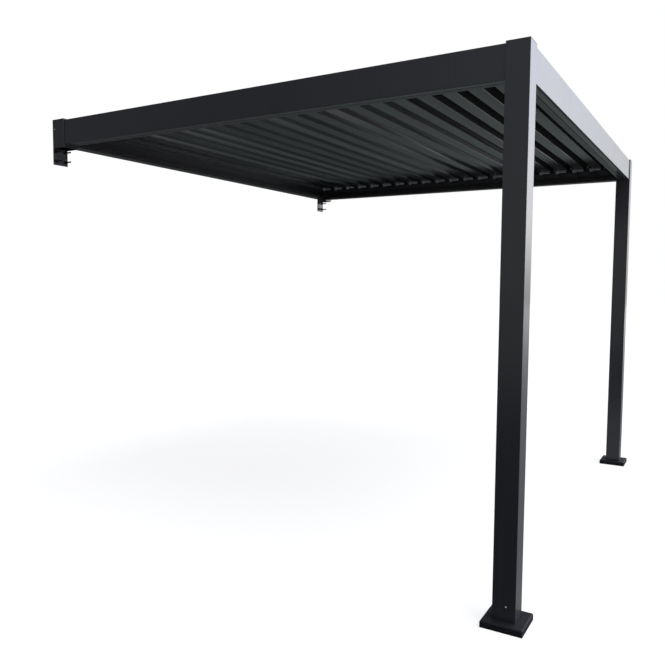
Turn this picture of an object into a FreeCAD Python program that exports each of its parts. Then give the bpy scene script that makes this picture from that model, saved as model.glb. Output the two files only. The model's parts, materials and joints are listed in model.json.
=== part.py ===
import FreeCAD, Part
import os

import Sketcher
from FreeCAD import Vector

# Wall-mounted pergola with a louvred roof.
# Frame of the part: the origin is the centre of the wall beam's back face, which lies against the wall.
# X points away from the wall, Y runs along the wall from the near side to the far side, Z points up.

os.makedirs("parts", exist_ok=True)
doc = FreeCAD.newDocument("wall_pergola")

# Driving sizes in millimetres
SIZES = {
    "projection": 3000,  # wall to the outer faces of the posts
    "frame_width": 3300,  # over the outer faces of the two sides
    "origin_height": 2450,  # middle of the beams above the ground
    "beam_height": 150,  # height of the roof beams
    "beam_thickness": 42,  # thickness of the roof beams
    "beam_wall": 2.5,  # wall of the beam tubes
    "face_recess": 6,  # beam faces behind the post faces
    "post_size": 105,  # side of the square posts
    "post_wall": 3,  # wall of the post tubes
    "post_rise": 4,  # post top above the beams
    "cap_thickness": 4,  # thickness of the post caps
    "wall_post_drop": 20,  # wall post end below the beams
    "cover_size": 190,  # side of the base cover
    "cover_height": 32,  # height of the base cover
    "cover_wall": 3,  # wall of the base cover
    "cover_clearance": 0.4,  # base cover around the post
    "cover_bevel": 5,  # bevelled top edge of the base cover
    "plate_size": 176,  # side of the anchor plate
    "plate_thickness": 8,  # thickness of the anchor plate
    "plate_spacing": 140,  # spacing of the anchor holes
    "plate_hole": 12,  # diameter of the anchor holes
    "gutter_width": 34,  # width of the gutters
    "gutter_height": 30,  # height of the gutters' inner wall
    "gutter_wall": 2,  # wall of the gutters
    "gutter_groove": 4,  # shadow groove between beam and gutter
    "gutter_web": 60,  # height of the gutters' wall on the beam
    "bracket_plate": 5,  # thickness of the wall brackets
    "bracket_depth": 45,  # reach of the brackets' flanges
    "bracket_clearance": 0.5,  # bracket inside the wall post
    "bracket_low": 100,  # bracket end below the wall post
    "bracket_up": 135,  # bracket inside the wall post
    "anchor_span": 70,  # wall anchors side by side
    "anchor_spacing": 60,  # wall anchors one above the other
    "anchor_offset": 25,  # lower wall anchors above the bracket's end
    "anchor_hole": 11,  # diameter of the wall anchor holes
    "louvre_count": 20,  # number of louvres
    "wall_margin": 84,  # wall to the first louvre's body
    "front_margin": 150,  # outer face to the last louvre's pitch
    "louvre_height": 38,  # height of a louvre
    "louvre_drop": 6,  # louvre top below the beam top
    "louvre_wall": 2,  # wall of a louvre
    "louvre_slope": 16,  # lean of a louvre's outer side
    "recess_width": 40,  # open width between two louvres' bodies
    "hook_width": 26,  # reach of a louvre's rain hook
    "hook_height": 9,  # hook above the louvre's underside
    "hook_rise": 15,  # height of the hook's upstand
    "overlap": 16,  # flange over the next louvre's hook
    "lip_depth": 21,  # drip lip below the louvre top
    "rail_thickness": 4,  # thickness of the pivot rails
    "rail_height": 30,  # height of the pivot rails
    "rail_margin": 5,  # pivot rails short of the posts
    "end_gap": 5,  # louvre ends to the pivot rails
    "near_cap": 3,  # thickness of the near end caps
    "far_cap": 4,  # thickness of the far end caps
    "pivot_pin": 10,  # diameter of the pivot pins
    "pin_clearance": 0.1,  # pins in their notches and holes, all round
    "link_pin": 8,  # diameter of the link pins
    "link_gap": 1,  # play beside the link bar
    "link_thickness": 4,  # thickness of the link bar
    "link_height": 16,  # height of the link bar
    "link_end": 14,  # link bar beyond its last holes
    "lever_back": 72,  # link pins behind the pivots
    "lever_down": 22,  # link pins below the pivots
    "lever_eye": 30,  # width of the levers' eyes
    "lever_reach": 12,  # lever arms beyond the pivots
    "strip_wall": 2,  # thickness of the closing strip
    "strip_flange": 20,  # height of the strip's flange on the beam
    "strip_clearance": 0.5,  # closing strip around the posts
}

sheet = doc.addObject("Spreadsheet::Sheet", "Sizes")
for row, (alias, value) in enumerate(SIZES.items(), start=1):
    sheet.set(f"A{row}", alias)
    sheet.set(f"B{row}", str(value))
    sheet.setAlias(f"B{row}", alias)
doc.recompute()

# The link bar's holes and the far pivot pins are drawn with this many sides
HOLE_SIDES = 12

# A cut has to remove at least this much, in cubic millimetres
LEAST_CUT = 1


def number(formula):
    """Present value of a formula in the sheet's aliases."""
    found = sheet.evalExpression(formula)
    return float(getattr(found, "Value", found))


def plane_of(body, role):
    for feature in body.Origin.OriginFeatures:
        if feature.Role == role:
            return feature
    raise ValueError(role)


def new_body(name):
    body = doc.addObject("PartDesign::Body", name)
    body.Label = name
    return body


def place(item, x="0", y="0", z="0"):
    """Binds an object's position to formulas."""
    for axis, formula in zip("xyz", (x, y, z)):
        item.setExpression(f".Placement.Base.{axis}", formula)


def new_sketch(body, name, role, offset="0"):
    sketch = body.newObject("Sketcher::SketchObject", name)
    sketch.AttachmentSupport = (plane_of(body, role), [""])
    sketch.MapMode = "FlatFace"
    sketch.setExpression(".AttachmentOffset.Base.z", offset)
    return sketch


def bind(sketch, kind, item, point, formula):
    """Ties one coordinate of a point to a formula."""
    index = sketch.addConstraint(Sketcher.Constraint(kind, -1, 1, item, point, number(formula)))
    sketch.setExpression(f"Constraints[{index}]", formula)


def outline(sketch, corners):
    """Closed outline of straight edges through corners given as formulas."""
    spots = [Vector(number(x), number(y), 0) for x, y in corners]
    first = sketch.GeometryCount
    last = first + len(spots) - 1
    for here, there in zip(spots, spots[1:] + spots[:1]):
        sketch.addGeometry(Part.LineSegment(here, there), False)
    for edge in range(first, last + 1):
        following = first if edge == last else edge + 1
        sketch.addConstraint(Sketcher.Constraint("Coincident", edge, 2, following, 1))
    for edge, (x, y) in zip(range(first, last + 1), corners):
        bind(sketch, "DistanceX", edge, 1, x)
        bind(sketch, "DistanceY", edge, 1, y)


def rectangle(sketch, x0, x1, y0, y1):
    outline(sketch, [(x0, y0), (x1, y0), (x1, y1), (x0, y1)])


def centred(sketch, half):
    rectangle(sketch, f"-{half}", half, f"-{half}", half)


def turned(x, y, width, angle):
    """Corner of a regular hole outline about x, y that clears a circle of the given width."""
    reach = f"({width}) / 2 / cos({180 / HOLE_SIDES} deg)"
    return (f"{x} + {reach} * cos({angle} deg)", f"{y} + {reach} * sin({angle} deg)")


def many_sided(sketch, x, y, width):
    step = 360 / HOLE_SIDES
    outline(sketch, [turned(x, y, width, (side + 0.5) * step) for side in range(HOLE_SIDES)])


def circle(sketch, x, y, diameter):
    spot = Vector(number(x), number(y), 0)
    item = sketch.addGeometry(Part.Circle(spot, Vector(0, 0, 1), number(diameter) / 2), False)
    bind(sketch, "DistanceX", item, 3, x)
    bind(sketch, "DistanceY", item, 3, y)
    index = sketch.addConstraint(Sketcher.Constraint("Diameter", item, number(diameter)))
    sketch.setExpression(f"Constraints[{index}]", diameter)


def pad(body, sketch, length, name, backwards=False):
    """Adds material from the sketch along its normal, or against it."""
    feature = body.newObject("PartDesign::Pad", name)
    feature.Profile = sketch
    feature.Reversed = backwards
    feature.setExpression("Length", length)
    sketch.Visibility = False
    return feature


def pocket(body, sketch, length, name, forwards=True):
    """Removes material along the sketch's normal, or against it, and makes sure that some went."""
    doc.recompute()
    before = body.Shape.Volume
    feature = body.newObject("PartDesign::Pocket", name)
    feature.Profile = sketch
    feature.Reversed = forwards
    feature.setExpression("Length", length)
    doc.recompute()
    if body.Shape.Volume > before - LEAST_CUT:
        raise RuntimeError(f"{name} cuts nothing")
    return feature


def mirrored(source, name):
    """Far-side copy of a near-side piece, mirrored in the middle plane."""
    copy = doc.addObject("Part::Mirroring", name)
    copy.Label = name
    copy.Source = source
    copy.Base = Vector(0, 0, 0)
    copy.Normal = Vector(0, 1, 0)
    return copy


# Shared formulas
GROUND = "(-Sizes.origin_height)"
BEAM_TOP = "(Sizes.beam_height / 2)"
BEAM_LOW = "(-Sizes.beam_height / 2)"
POST_TOP = f"({BEAM_TOP} + Sizes.post_rise)"
NEAR_FACE = "(-Sizes.frame_width / 2)"
NEAR_BEAM = f"({NEAR_FACE} + Sizes.face_recess)"
BEAM_INSIDE = f"({NEAR_BEAM} + Sizes.beam_thickness)"
POST_INSIDE = f"({NEAR_FACE} + Sizes.post_size)"
POST_MIDDLE_X = "(Sizes.projection - Sizes.post_size / 2)"
POST_MIDDLE_Y = f"({NEAR_FACE} + Sizes.post_size / 2)"
POST_BACK = "(Sizes.projection - Sizes.post_size)"
FRONT_FACE = "(Sizes.projection - Sizes.face_recess)"
FRONT_INSIDE = f"({FRONT_FACE} - Sizes.beam_thickness)"
WALL_POST_LOW = f"({BEAM_LOW} - Sizes.wall_post_drop)"
GUTTER_REACH = "(Sizes.gutter_groove + Sizes.gutter_width)"
WALL_GUTTER_EDGE = f"(Sizes.beam_thickness + {GUTTER_REACH})"
FRONT_LENGTH = "(Sizes.frame_width - 2 * Sizes.post_size)"
WALL_LENGTH = f"(-2 * {BEAM_INSIDE})"
PITCH = "((Sizes.projection - Sizes.wall_margin - Sizes.front_margin) / Sizes.louvre_count)"
BODY_WIDTH = f"({PITCH} - Sizes.recess_width - Sizes.hook_width)"
FLANGE_END = f"({BODY_WIDTH} + Sizes.recess_width + Sizes.overlap)"
PIVOT_SHIFT = f"(({FLANGE_END} - Sizes.hook_width) / 2)"
PIVOT_UP = "(Sizes.louvre_height / 2)"
PIVOT_Z = f"({BEAM_TOP} - Sizes.louvre_drop - {PIVOT_UP})"
FIRST_PIVOT = f"(Sizes.wall_margin + {PIVOT_SHIFT})"
RAIL_FACE = f"({BEAM_INSIDE} + Sizes.rail_thickness)"
NEAR_END = f"({RAIL_FACE} + Sizes.end_gap)"
FAR_END = f"(-{RAIL_FACE} - Sizes.end_gap - Sizes.link_thickness - Sizes.link_gap)"

parts = []


def square_tube(body, x0, x1, y0, y1, wall, length, name):
    """Upright tube between x0, x1, y0 and y1 with the given wall."""
    section = new_sketch(body, f"{name}_section", "XY_Plane")
    rectangle(section, x0, x1, y0, y1)
    rectangle(section, f"{x0} + {wall}", f"{x1} - {wall}", f"{y0} + {wall}", f"{y1} - {wall}")
    pad(body, section, length, name)


def flat_cap(name, x0, x1, y0, y1):
    """Flat plate that closes the top of a post."""
    cap = new_body(name)
    plate_outline = new_sketch(cap, f"{name}_outline", "XY_Plane")
    rectangle(plate_outline, x0, x1, y0, y1)
    pad(cap, plate_outline, "Sizes.cap_thickness", f"{name}_plate")
    place(cap, z=POST_TOP)
    return cap


# Post tube on its anchor plate
post = new_body("near_post")
post_length = f"{POST_TOP} - {GROUND} - Sizes.plate_thickness"
tube_wall = "Sizes.post_wall"
square_tube(post, POST_BACK, "Sizes.projection", NEAR_FACE, POST_INSIDE, tube_wall, post_length, "post_tube")
place(post, z=f"{GROUND} + Sizes.plate_thickness")
cap = flat_cap("near_post_cap", POST_BACK, "Sizes.projection", NEAR_FACE, POST_INSIDE)
parts += [post, mirrored(post, "far_post"), cap, mirrored(cap, "far_post_cap")]

# Anchor plate under the post
plate = new_body("near_foot_plate")
sketch = new_sketch(plate, "foot_plate_outline", "XY_Plane")
centred(sketch, "(Sizes.plate_size / 2)")
pad(plate, sketch, "Sizes.plate_thickness", "foot_plate_slab")
sketch = new_sketch(plate, "foot_plate_holes", "XY_Plane")
for x in ("-Sizes.plate_spacing / 2", "Sizes.plate_spacing / 2"):
    for y in ("-Sizes.plate_spacing / 2", "Sizes.plate_spacing / 2"):
        circle(sketch, x, y, "Sizes.plate_hole")
pocket(plate, sketch, "Sizes.plate_thickness", "foot_plate_drilling")
place(plate, POST_MIDDLE_X, POST_MIDDLE_Y, GROUND)
parts += [plate, mirrored(plate, "far_foot_plate")]

# Base cover around the post's foot
cover = new_body("near_base_cover")
sketch = new_sketch(cover, "cover_outline", "XY_Plane")
centred(sketch, "(Sizes.cover_size / 2)")
cover_block = pad(cover, sketch, "Sizes.cover_height", "cover_block")
doc.recompute()
block_top = cover_block.Shape.BoundBox.ZMax
top_edges = [
    f"Edge{index}"
    for index, edge in enumerate(cover_block.Shape.Edges, start=1)
    if edge.BoundBox.ZMin > block_top / 2
]
bevel = cover.newObject("PartDesign::Chamfer", "cover_top_bevel")
bevel.Base = (cover_block, top_edges)
bevel.setExpression("Size", "Sizes.cover_bevel")
sketch = new_sketch(cover, "cover_inside", "XY_Plane")
centred(sketch, "(Sizes.cover_size / 2 - Sizes.cover_wall)")
pocket(cover, sketch, "Sizes.cover_height - Sizes.cover_bevel - Sizes.cover_wall", "cover_hollow")
sketch = new_sketch(cover, "cover_opening", "XY_Plane")
centred(sketch, "(Sizes.post_size / 2 + Sizes.cover_clearance)")
pocket(cover, sketch, "Sizes.cover_height", "cover_post_hole")
place(cover, POST_MIDDLE_X, POST_MIDDLE_Y, GROUND)
parts += [cover, mirrored(cover, "far_base_cover")]

# Short post against the wall: as deep as the side beam at the roof, as wide as the posts below it
wall_post = new_body("near_wall_post")
section = new_sketch(wall_post, "wall_seat_section", "XY_Plane", WALL_POST_LOW)
rectangle(section, "0", "Sizes.post_size", NEAR_FACE, POST_INSIDE)
rectangle(
    section,
    "Sizes.post_wall",
    "Sizes.post_size - Sizes.post_wall",
    f"{NEAR_FACE} + Sizes.post_wall",
    f"{POST_INSIDE} - Sizes.post_wall",
)
pad(wall_post, section, "Sizes.wall_post_drop", "wall_seat_tube")
section = new_sketch(wall_post, "wall_seat_top", "XY_Plane", BEAM_LOW)
rectangle(section, "0", "Sizes.post_size", f"{BEAM_INSIDE} - Sizes.post_wall", POST_INSIDE)
pad(wall_post, section, "Sizes.post_wall", "wall_seat_plate", backwards=True)
section = new_sketch(wall_post, "wall_tube_section", "XY_Plane", BEAM_LOW)
rectangle(section, "0", "Sizes.post_size", NEAR_FACE, BEAM_INSIDE)
rectangle(
    section,
    "Sizes.post_wall",
    "Sizes.post_size - Sizes.post_wall",
    f"{NEAR_FACE} + Sizes.post_wall",
    f"{BEAM_INSIDE} - Sizes.post_wall",
)
pad(wall_post, section, f"{POST_TOP} - {BEAM_LOW}", "wall_tube")
section = new_sketch(wall_post, "bracket_notch", "YZ_Plane")
rectangle(
    section,
    f"{NEAR_FACE} + Sizes.post_wall",
    f"{BEAM_INSIDE} - Sizes.post_wall",
    WALL_POST_LOW,
    f"{WALL_POST_LOW} + Sizes.bracket_up + Sizes.bracket_clearance",
)
pocket(wall_post, section, "Sizes.post_wall", "bracket_opening")
wall_cap = flat_cap("near_wall_cap", "0", "Sizes.post_size", NEAR_FACE, BEAM_INSIDE)
parts += [wall_post, mirrored(wall_post, "far_wall_post"), wall_cap, mirrored(wall_cap, "far_wall_cap")]

# Wall bracket: an anchor plate below the wall post and a channel that goes up inside the post
bracket = new_body("near_wall_bracket")
sketch = new_sketch(bracket, "bracket_plate_outline", "YZ_Plane")
rectangle(sketch, "-Sizes.post_size / 2", "Sizes.post_size / 2", "0", "Sizes.bracket_low")
pad(bracket, sketch, "Sizes.bracket_plate", "bracket_anchor_plate")
sketch = new_sketch(bracket, "bracket_section", "XY_Plane", "Sizes.bracket_low")
channel_outer = f"({NEAR_FACE} + Sizes.post_wall + Sizes.bracket_clearance - {POST_MIDDLE_Y})"
channel_inner = f"({BEAM_INSIDE} - Sizes.post_wall - Sizes.bracket_clearance - {POST_MIDDLE_Y})"
outline(
    sketch,
    [
        ("0", channel_outer),
        ("Sizes.bracket_depth", channel_outer),
        ("Sizes.bracket_depth", f"{channel_outer} + Sizes.bracket_plate"),
        ("Sizes.bracket_plate", f"{channel_outer} + Sizes.bracket_plate"),
        ("Sizes.bracket_plate", f"{channel_inner} - Sizes.bracket_plate"),
        ("Sizes.bracket_depth", f"{channel_inner} - Sizes.bracket_plate"),
        ("Sizes.bracket_depth", channel_inner),
        ("0", channel_inner),
    ],
)
pad(bracket, sketch, "Sizes.bracket_up", "bracket_channel")
sketch = new_sketch(bracket, "wall_anchor_holes", "YZ_Plane")
for y in ("-Sizes.anchor_span / 2", "Sizes.anchor_span / 2"):
    for z in ("Sizes.anchor_offset", "Sizes.anchor_offset + Sizes.anchor_spacing"):
        circle(sketch, y, z, "Sizes.anchor_hole")
pocket(bracket, sketch, "Sizes.bracket_plate", "wall_anchor_drilling")
place(bracket, "0", POST_MIDDLE_Y, f"{WALL_POST_LOW} - Sizes.bracket_low")
parts += [bracket, mirrored(bracket, "far_wall_bracket")]


def beam(name, role, low, high, start, length):
    """Rectangular tube of the roof frame; its section runs from low to high across the plane of role."""
    body = new_body(name)
    tube = new_sketch(body, f"{name}_section", role, start)
    wall = "Sizes.beam_wall"
    rectangle(tube, low, high, BEAM_LOW, BEAM_TOP)
    rectangle(tube, f"{low} + {wall}", f"{high} - {wall}", f"{BEAM_LOW} + {wall}", f"{BEAM_TOP} - {wall}")
    pad(body, tube, length, f"{name}_tube")
    return body


# Roof frame: side beams from wall post to post, front beam between the posts, wall beam on the wall
side_beam = beam(
    "near_side_beam", "YZ_Plane", NEAR_BEAM, BEAM_INSIDE, "Sizes.post_size", f"{POST_BACK} - Sizes.post_size"
)
front_beam = beam("front_beam", "XZ_Plane", FRONT_INSIDE, FRONT_FACE, f"-{FRONT_LENGTH} / 2", FRONT_LENGTH)
wall_beam = beam("wall_beam", "XZ_Plane", "0", "Sizes.beam_thickness", f"-{WALL_LENGTH} / 2", WALL_LENGTH)
parts += [side_beam, mirrored(side_beam, "far_side_beam"), front_beam, wall_beam]


def gutter(name, role, side, sign, start, length):
    """Rain channel on a beam's inner face at side, reaching inwards by sign, with a groove along the beam."""
    body = new_body(name)
    channel = new_sketch(body, f"{name}_section", role, start)
    low = BEAM_LOW
    wall = "Sizes.gutter_wall"
    groove = "Sizes.gutter_groove"

    def inwards(formula):
        return f"{side} {sign} ({formula})"

    outline(
        channel,
        [
            (inwards(groove), low),
            (inwards(GUTTER_REACH), low),
            (inwards(GUTTER_REACH), f"{low} + Sizes.gutter_height"),
            (inwards(f"{GUTTER_REACH} - {wall}"), f"{low} + Sizes.gutter_height"),
            (inwards(f"{GUTTER_REACH} - {wall}"), f"{low} + {wall}"),
            (inwards(f"{groove} + {wall}"), f"{low} + {wall}"),
            (inwards(f"{groove} + {wall}"), f"{low} + 2 * {groove} + {wall}"),
            (inwards(wall), f"{low} + 2 * {groove} + {wall}"),
            (inwards(wall), f"{low} + Sizes.gutter_web"),
            (inwards("0"), f"{low} + Sizes.gutter_web"),
            (inwards("0"), f"{low} + 2 * {groove}"),
            (inwards(groove), f"{low} + 2 * {groove}"),
        ],
    )
    pad(body, channel, length, f"{name}_channel")
    return body


side_gutter = gutter(
    "near_gutter", "YZ_Plane", BEAM_INSIDE, "+", WALL_GUTTER_EDGE, f"{POST_BACK} - {WALL_GUTTER_EDGE}"
)
front_gutter = gutter("front_gutter", "XZ_Plane", FRONT_INSIDE, "-", f"-{FRONT_LENGTH} / 2", FRONT_LENGTH)
wall_gutter = gutter(
    "wall_gutter", "XZ_Plane", "Sizes.beam_thickness", "+", f"-{WALL_LENGTH} / 2", WALL_LENGTH
)
parts += [side_gutter, mirrored(side_gutter, "far_gutter"), front_gutter, wall_gutter]


def row_of(body, feature, name):
    """Repeats a feature once for each louvre, one pitch apart along X."""
    pattern = body.newObject("PartDesign::LinearPattern", name)
    pattern.Originals = [feature]
    pattern.Direction = (plane_of(body, "X_Axis"), [""])
    pattern.setExpression("Length", f"({PITCH}) * (Sizes.louvre_count - 1)")
    pattern.setExpression("Occurrences", "Sizes.louvre_count")
    body.Tip = pattern


# Pivot rail with one open notch for each louvre's pin
rail = new_body("near_pivot_rail")
sketch = new_sketch(rail, "rail_outline", "XZ_Plane", f"-{RAIL_FACE}")
rail_x0 = "Sizes.post_size + Sizes.rail_margin"
rail_x1 = f"{POST_BACK} - Sizes.rail_margin"
rail_top = f"{PIVOT_Z} + Sizes.rail_height / 2"
rectangle(sketch, rail_x0, rail_x1, f"{PIVOT_Z} - Sizes.rail_height / 2", rail_top)
pad(rail, sketch, "Sizes.rail_thickness", "rail_bar")
sketch = new_sketch(rail, "rail_notch", "XZ_Plane", f"-{RAIL_FACE}")
pin_room = "(Sizes.pivot_pin / 2 + Sizes.pin_clearance)"
rectangle(
    sketch, f"{FIRST_PIVOT} - {pin_room}", f"{FIRST_PIVOT} + {pin_room}", f"{PIVOT_Z} - {pin_room}", rail_top
)
rail_notch = pocket(rail, sketch, "Sizes.rail_thickness", "rail_notching")
row_of(rail, rail_notch, "rail_notch_row")
parts += [rail, mirrored(rail, "far_pivot_rail")]

# Closing strip between the last louvre and the front beam, with a hook under the last flange
strip = new_body("front_closing_strip")
sketch = new_sketch(strip, "strip_section", "XZ_Plane", NEAR_END)
strip_low = f"({PIVOT_Z} - {PIVOT_UP} + Sizes.hook_height)"
strip_start = "(Sizes.projection - Sizes.front_margin - Sizes.hook_width)"
strip_wall = "Sizes.strip_wall"
outline(
    sketch,
    [
        (strip_start, strip_low),
        (FRONT_INSIDE, strip_low),
        (FRONT_INSIDE, f"{strip_low} + Sizes.strip_flange"),
        (f"{FRONT_INSIDE} - {strip_wall}", f"{strip_low} + Sizes.strip_flange"),
        (f"{FRONT_INSIDE} - {strip_wall}", f"{strip_low} + {strip_wall}"),
        (f"{strip_start} + {strip_wall}", f"{strip_low} + {strip_wall}"),
        (f"{strip_start} + {strip_wall}", f"{strip_low} + Sizes.hook_rise"),
        (strip_start, f"{strip_low} + Sizes.hook_rise"),
    ],
)
pad(strip, sketch, f"-2 * {NEAR_END}", "strip_profile")

# The strip's ends are cut out around the posts
sketch = new_sketch(strip, "strip_corners", "XY_Plane", strip_low)
corner_x = f"{POST_BACK} - Sizes.strip_clearance"
corner_y = f"({POST_INSIDE} + Sizes.strip_clearance)"
rectangle(sketch, corner_x, FRONT_INSIDE, NEAR_END, corner_y)
rectangle(sketch, corner_x, FRONT_INSIDE, f"-{corner_y}", f"-{NEAR_END}")
pocket(strip, sketch, "Sizes.strip_flange", "strip_corner_cut")
parts.append(strip)


def louvre_corners():
    """Section of a louvre about its pivot: body with a leaning outer side, rain hook, flange with a drip lip."""
    wall = "Sizes.louvre_wall"
    top = "Sizes.louvre_height"
    hook = "Sizes.hook_height"

    def spot(across, up):
        return (f"{across} - {PIVOT_SHIFT}", f"{up} - {PIVOT_UP}")

    return [
        spot("0", "0"),
        spot(BODY_WIDTH, "0"),
        spot(f"{BODY_WIDTH} + Sizes.louvre_slope", f"{top} - {wall}"),
        spot(f"{FLANGE_END} - {wall}", f"{top} - {wall}"),
        spot(f"{FLANGE_END} - {wall}", f"{top} - Sizes.lip_depth"),
        spot(FLANGE_END, f"{top} - Sizes.lip_depth"),
        spot(FLANGE_END, top),
        spot("0", top),
        spot("0", f"{hook} + {wall}"),
        spot(f"{wall} - Sizes.hook_width", f"{hook} + {wall}"),
        spot(f"{wall} - Sizes.hook_width", f"{hook} + Sizes.hook_rise"),
        spot("-Sizes.hook_width", f"{hook} + Sizes.hook_rise"),
        spot("-Sizes.hook_width", hook),
        spot("0", hook),
    ]


def lever_corners():
    """Outline of a lever: an arm under the blade and an eight-sided eye around its link pin."""
    reach = "(Sizes.lever_eye / 2 / cos(22.5 deg))"
    eye = [
        (f"{reach} * cos({angle} deg) - Sizes.lever_back", f"{reach} * sin({angle} deg) - Sizes.lever_down")
        for angle in (67.5, 112.5, 157.5, 202.5, 247.5, 292.5, 337.5)
    ]
    arm_low = eye[-1][1]
    in_blade = f"-{PIVOT_UP} + Sizes.louvre_wall"
    in_hook = f"Sizes.hook_height + Sizes.louvre_wall / 2 - {PIVOT_UP}"
    arm = [("Sizes.lever_reach", arm_low), ("Sizes.lever_reach", in_blade)]
    return [(f"Sizes.louvre_wall - {PIVOT_SHIFT}", in_hook), *eye, *arm]


def louvre(name, index):
    """Hollow blade with end caps and pivot pins; the far cap carries the lever and its link pin."""
    body = new_body(name)
    corners = louvre_corners()
    wall = "Sizes.louvre_wall"
    inside_x0 = f"{wall} - {PIVOT_SHIFT}"
    inside_x1 = f"{BODY_WIDTH} - {wall} - {PIVOT_SHIFT}"
    inside_low = f"{wall} - {PIVOT_UP}"
    inside_top = f"{PIVOT_UP} - {wall}"
    slope_inside = f"{inside_x1} + Sizes.louvre_slope"
    cavity = [(inside_x0, inside_low), (inside_x1, inside_low), (slope_inside, inside_top), (inside_x0, inside_top)]
    tube = new_sketch(body, f"{name}_section", "XZ_Plane", f"-({NEAR_END} + Sizes.near_cap)")
    outline(tube, corners)
    outline(tube, cavity)
    tube_length = f"{FAR_END} - {NEAR_END} - Sizes.near_cap - Sizes.far_cap"
    pad(body, tube, tube_length, f"{name}_blade", backwards=True)

    near = new_sketch(body, f"{name}_near_outline", "XZ_Plane", f"-{NEAR_END}")
    outline(near, corners)
    pad(body, near, "Sizes.near_cap", f"{name}_near_cap", backwards=True)

    for piece, shape in (("far_cap", corners), ("lever", lever_corners())):
        far = new_sketch(body, f"{name}_{piece}_outline", "XZ_Plane", f"-({FAR_END} - Sizes.far_cap)")
        outline(far, shape)
        pad(body, far, "Sizes.far_cap", f"{name}_{piece}", backwards=True)

    near_pin_end = f"({BEAM_INSIDE} + Sizes.link_gap)"
    far_pin_length = f"-{BEAM_INSIDE} - Sizes.link_gap - {FAR_END}"
    link_pin_length = "2 * Sizes.link_gap + Sizes.link_thickness"
    for piece, x, z, width, start, length in (
        ("near_pin", "0", "0", "Sizes.pivot_pin", near_pin_end, f"{NEAR_END} - {near_pin_end}"),
        ("far_pin", "0", "0", "Sizes.pivot_pin", FAR_END, far_pin_length),
        ("link_pin", "-Sizes.lever_back", "-Sizes.lever_down", "Sizes.link_pin", FAR_END, link_pin_length),
    ):
        pin = new_sketch(body, f"{name}_{piece}_outline", "XZ_Plane", f"-{start}")
        if piece == "far_pin":
            many_sided(pin, x, z, f"{width} * cos({180 / HOLE_SIDES} deg)")
        else:
            circle(pin, x, z, width)
        pad(body, pin, length, f"{name}_{piece}", backwards=True)
    place(body, x=f"{FIRST_PIVOT} + {index} * {PITCH}", z=PIVOT_Z)
    return body


for index in range(round(number("Sizes.louvre_count"))):
    parts.append(louvre(f"louvre_{index + 1:02d}", index))

# Link bar that joins the levers at the far ends of the louvres
link = new_body("link_bar")
link_y = f"-({FAR_END} + Sizes.link_gap)"
sketch = new_sketch(link, "link_outline", "XZ_Plane", link_y)
first_hole = f"({FIRST_PIVOT} - Sizes.lever_back)"
link_x0 = f"{first_hole} - Sizes.link_end"
link_x1 = f"{first_hole} + Sizes.link_end + {PITCH} * (Sizes.louvre_count - 1)"
link_z = f"({PIVOT_Z} - Sizes.lever_down)"
rectangle(sketch, link_x0, link_x1, f"{link_z} - Sizes.link_height / 2", f"{link_z} + Sizes.link_height / 2")
pad(link, sketch, "Sizes.link_thickness", "link_flat", backwards=True)
sketch = new_sketch(link, "link_hole", "XZ_Plane", link_y)
many_sided(sketch, first_hole, link_z, "Sizes.link_pin + 2 * Sizes.pin_clearance")
link_hole = pocket(link, sketch, "Sizes.link_thickness", "link_drilling", forwards=False)
row_of(link, link_hole, "link_hole_row")
parts.append(link)

doc.recompute()

# Nothing is written unless every object and every shape is sound
for item in doc.Objects:
    if "Invalid" in item.State or "Error" in item.State:
        raise RuntimeError(f"{item.Label}: {item.State}")
for item in parts:
    if item.Shape.isNull() or not item.Shape.isValid():
        raise RuntimeError(f"{item.Label} has no valid shape")
for item in parts:
    item.Shape.exportStep(f"parts/{item.Label}.step")
    print(item.Label, len(item.Shape.Solids), item.Shape.BoundBox)
print("first pivot", number(FIRST_PIVOT), "pitch", number(PITCH), "height", number(PIVOT_Z))
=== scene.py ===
import json
import math

import bmesh
import bpy
from bpy.props import FloatProperty, FloatVectorProperty, PointerProperty
from mathutils import Matrix, Vector

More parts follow.
